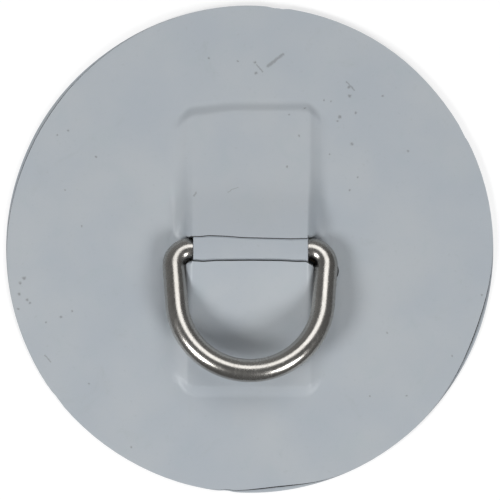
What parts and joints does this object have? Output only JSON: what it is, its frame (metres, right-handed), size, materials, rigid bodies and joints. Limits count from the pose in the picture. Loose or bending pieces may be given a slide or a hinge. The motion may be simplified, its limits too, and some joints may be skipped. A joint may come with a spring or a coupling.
{
  "type": "inflatable boat d-ring pad eye",
  "caption": "Round glue-on fabric patch for a soft hull, with a welded steel D-ring that swings in a fabric loop through a slit in its cover.",
  "frame": {"origin": "middle of the glued underside of the base disc", "axes": "+Z out of the patch, X along the ring's straight bar, the ring lies towards -Y at rest"},
  "size_m": [0.17, 0.17, 0.0193],
  "materials": {
    "pvc_coat": "semi-matte PVC coating, pale blue-grey, lightly mottled",
    "scrim": "woven polyester, seen only as a dark line at cut edges",
    "glue": "cured two-part polyurethane adhesive",
    "stainless": "polished stainless steel wire with fine drawing lines",
    "weld": "ground butt weld"
  },
  "bodies": {
    "patch": {"base_back_coat": "pvc_coat", "base_scrim": "scrim", "base_face_coat": "pvc_coat", "upper_tail_glue": "glue", "lower_tail_glue": "glue", "strap_inner_coat": "pvc_coat", "strap_scrim": "scrim", "strap_outer_coat": "pvc_coat", "upper_tail_cover_glue": "glue", "lower_tail_cover_glue": "glue", "rim_glue": "glue", "cover_back_coat": "pvc_coat", "cover_scrim": "scrim", "cover_face_coat": "pvc_coat"},
    "ring": {"ring_wire": "stainless", "ring_weld": "weld"}
  },
  "joints": [
    {"name": "ring_swing", "type": "hinge", "parent": "patch", "child": "ring", "pos_m": [0, 0, 0.005], "axis": [-1, 0, 0], "range_deg": [0, 152]}
  ]
}
